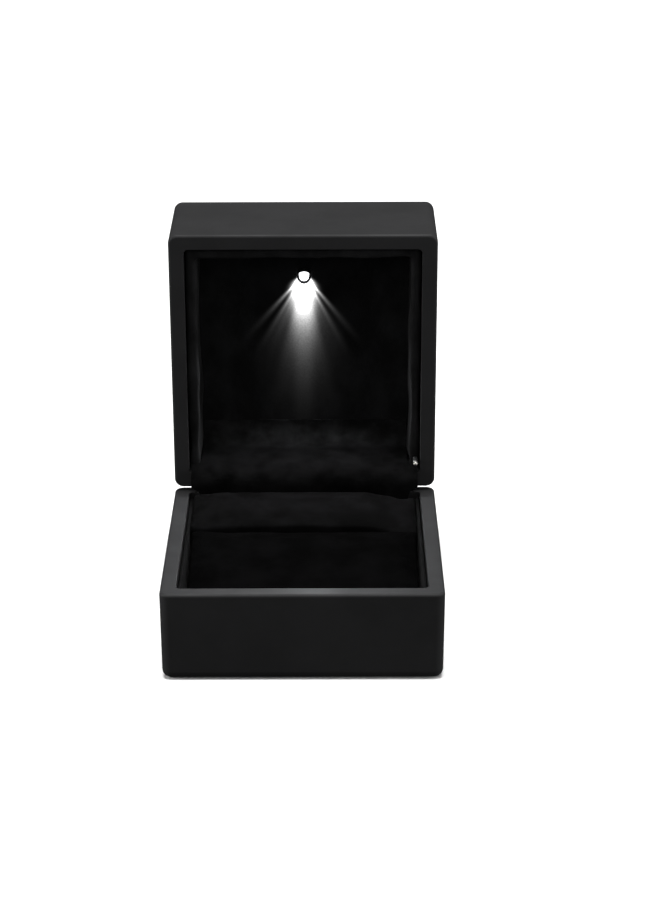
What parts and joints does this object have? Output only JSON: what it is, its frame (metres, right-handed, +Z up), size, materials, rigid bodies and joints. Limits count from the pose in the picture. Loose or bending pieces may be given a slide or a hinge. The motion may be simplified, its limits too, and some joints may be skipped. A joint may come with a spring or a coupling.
{
  "type": "ring box",
  "caption": "Square hinged ring box with soft-touch shells, a velvet ring cushion and a small lamp in the lid that lights when it is opened.",
  "frame": {"origin": "centre of the base's footprint, on the underside", "axes": "+Z up; +X to the right of someone who faces the open box; +Y towards the hinge and the raised lid"},
  "size_m": [0.065, 0.0916, 0.0893],
  "materials": {
    "soft_touch_black": "matt black soft-touch paint on moulded plastic, faint orange-peel grain",
    "black_velvet": "short-pile black velvet with a faint sheen at grazing angles",
    "grey_foam": "open-cell polyurethane foam",
    "black_card": "uncoated black board",
    "nickel_steel": "nickel-plated steel sheet and screws",
    "spring_steel": "bright spring wire",
    "brass_contact": "thin stamped brass strip",
    "black_plastic": "moulded black plastic, satin",
    "lit_lamp": "clear epoxy lamp, lit cool white",
    "green_board": "solder-masked circuit board",
    "black_ceramic": "chip resistor body",
    "red_insulation": "thin red lead insulation",
    "black_insulation": "thin black lead insulation"
  },
  "bodies": {
    "base": {"base_shell": "soft_touch_black", "insert_card": "black_card", "base_lining": "black_velvet", "front_cushion_cover": "black_velvet", "front_cushion_foam": "grey_foam", "rear_cushion_cover": "black_velvet", "rear_cushion_foam": "grey_foam", "hinge_base_leaf": "nickel_steel", "hinge_pin": "nickel_steel", "hinge_snap_spring": "spring_steel", "hinge_flap": "black_velvet", "base_hinge_screw_left": "nickel_steel", "base_hinge_screw_right": "nickel_steel"},
    "lid": {"lid_shell": "soft_touch_black", "hinge_lid_leaf": "nickel_steel", "lid_hinge_screw_left": "nickel_steel", "lid_hinge_screw_right": "nickel_steel", "lid_lining": "black_velvet", "lamp_panel_velvet": "black_velvet", "lamp_panel_card": "black_card", "lamp_collar": "black_plastic", "lamp": "lit_lamp", "lamp_board": "green_board", "lamp_resistor": "black_ceramic", "battery_tray": "black_plastic", "battery_cell_lower": "nickel_steel", "battery_cell_upper": "nickel_steel", "battery_inner_contact": "brass_contact", "battery_side_contact": "brass_contact", "tray_screw_left": "nickel_steel", "tray_screw_right": "nickel_steel", "switch_body": "black_plastic", "switch_spring": "spring_steel", "lamp_lead": "red_insulation", "switch_lead": "red_insulation", "return_lead": "black_insulation"},
    "switch_rod": {"switch_rod": "black_plastic"}
  },
  "joints": [
    {"name": "lid_hinge", "type": "hinge", "parent": "base", "child": "lid", "pos_m": [0, 0.0319, 0.0236], "axis": [1, 0, 0], "range_deg": [0, 88], "deforming": ["hinge_flap", "hinge_snap_spring"]},
    {"name": "switch_press", "type": "slide", "parent": "lid", "child": "switch_rod", "axis": [0, 0.9994, 0.0349], "range_m": [0, 0.0012], "deforming": ["switch_spring"]}
  ],
  "couplings": [
    {"joint": "switch_press", "follows": "lid_hinge", "m_per_rad": 0.00078}
  ]
}
